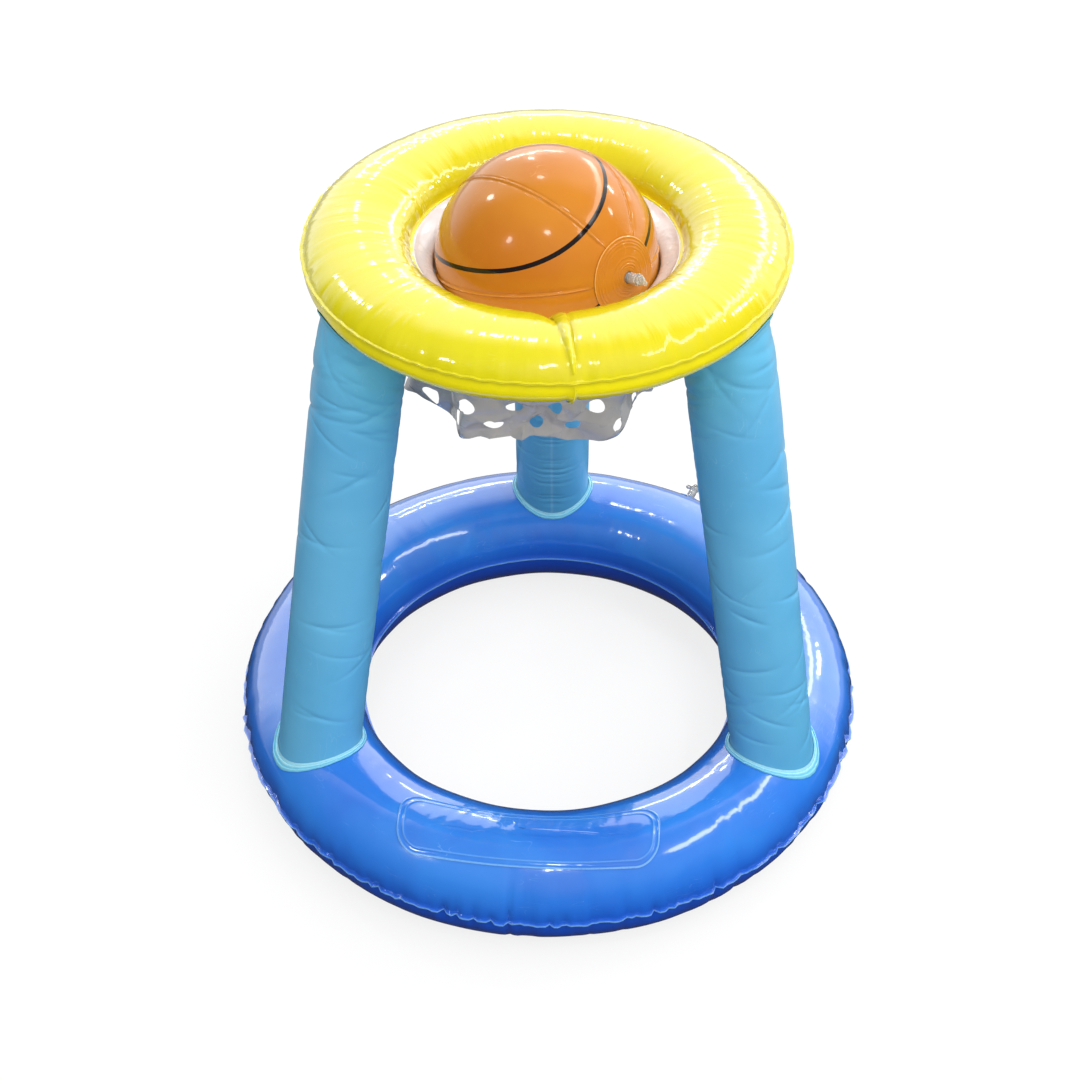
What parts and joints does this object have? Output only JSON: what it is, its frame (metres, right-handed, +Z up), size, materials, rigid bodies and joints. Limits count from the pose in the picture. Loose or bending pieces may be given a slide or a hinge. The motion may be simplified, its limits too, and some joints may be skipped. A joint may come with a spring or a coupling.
{
  "type": "floating basketball hoop",
  "caption": "Inflatable pool basketball set: a base ring on the water, leaning legs, a flattened hoop with a punched film net, and a ball resting in the net.",
  "frame": {"origin": "on the surface it stands on, on the common vertical axis of the base ring and the hoop", "axes": "+Z up, the front of the toy faces -Y, +X to the right as seen from the front"},
  "size_m": [0.666, 0.666, 0.7033],
  "materials": {
    "base_film": "glossy printed PVC film",
    "leg_film": "semi-matte PVC film",
    "collar_film": "soft PVC weld collar",
    "hoop_film": "glossy PVC film",
    "net_film": "thin crumpled white PVC film",
    "ball_film": "glossy printed PVC film",
    "clear_vinyl": "soft clear vinyl"
  },
  "bodies": {
    "stand": {"base_upper_skin": "base_film", "base_lower_skin": "base_film", "base_front_patch": "base_film", "base_valve_disc": "base_film", "leg_left": "leg_film", "leg_right": "leg_film", "leg_rear": "leg_film", "foot_collar_left": "collar_film", "foot_collar_right": "collar_film", "foot_collar_rear": "collar_film", "head_collar_left": "collar_film", "head_collar_right": "collar_film", "head_collar_rear": "collar_film", "hoop_upper_skin": "hoop_film", "hoop_lower_skin": "hoop_film", "hoop_cross_seam_upper": "hoop_film", "hoop_cross_seam_lower": "hoop_film", "hoop_valve_disc": "hoop_film", "net_skirt": "net_film"},
    "ball": {"ball_gore_1": "ball_film", "ball_gore_2": "ball_film", "ball_gore_3": "ball_film", "ball_gore_4": "ball_film", "ball_gore_5": "ball_film", "ball_gore_6": "ball_film", "ball_valve_cap": "ball_film", "ball_far_cap": "ball_film"},
    "ball_stem": {"ball_valve_stem": "clear_vinyl"},
    "ball_plug": {"ball_valve_plug": "clear_vinyl"},
    "ball_flap": {"ball_valve_flap": "clear_vinyl"},
    "base_stem": {"base_valve_stem": "clear_vinyl"},
    "base_plug": {"base_valve_plug": "clear_vinyl"},
    "base_flap": {"base_valve_flap": "clear_vinyl"},
    "hoop_stem": {"hoop_valve_stem": "clear_vinyl"},
    "hoop_plug": {"hoop_valve_plug": "clear_vinyl"},
    "hoop_flap": {"hoop_valve_flap": "clear_vinyl"}
  },
  "joints": [
    {"name": "ball_lift", "type": "slide", "parent": "stand", "child": "ball", "axis": [0, 0, 1], "range_m": [0, 0.25]},
    {"name": "ball_stem_push", "type": "slide", "parent": "ball", "child": "ball_stem", "axis": [0.7034, -0.6652, 0.2504], "range_m": [-0.009, 0]},
    {"name": "ball_plug_pull", "type": "slide", "parent": "ball_stem", "child": "ball_plug", "axis": [0.7034, -0.6652, 0.2504], "range_m": [0, 0.008]},
    {"name": "ball_flap_hinge", "type": "hinge", "parent": "ball_stem", "child": "ball_flap", "pos_m": [0.06363, -0.06445, 0.62862], "axis": [0.3572, 0.6354, 0.6846], "range_deg": [0, 50], "stiffness_Nm_per_rad": 0.0005},
    {"name": "base_stem_push", "type": "slide", "parent": "stand", "child": "base_stem", "axis": [0.4442, 0.7694, 0.4591], "range_m": [-0.009, 0]},
    {"name": "base_plug_pull", "type": "slide", "parent": "base_stem", "child": "base_plug", "axis": [0.4442, 0.7694, 0.4591], "range_m": [0, 0.008]},
    {"name": "base_flap_hinge", "type": "hinge", "parent": "base_stem", "child": "base_flap", "pos_m": [0.16234, 0.27239, 0.0776], "axis": [-0.2296, -0.3976, 0.8884], "range_deg": [0, 50], "stiffness_Nm_per_rad": 0.0005},
    {"name": "hoop_stem_push", "type": "slide", "parent": "stand", "child": "hoop_stem", "axis": [0.1943, 0.1122, -0.9745], "range_m": [-0.009, 0]},
    {"name": "hoop_plug_pull", "type": "slide", "parent": "hoop_stem", "child": "hoop_plug", "axis": [0.1943, 0.1122, -0.9745], "range_m": [0, 0.008]},
    {"name": "hoop_flap_hinge", "type": "hinge", "parent": "hoop_stem", "child": "hoop_flap", "pos_m": [0.16331, 0.08921, 0.59537], "axis": [0.8439, 0.4872, 0.2244], "range_deg": [0, 50], "stiffness_Nm_per_rad": 0.0005}
  ]
}
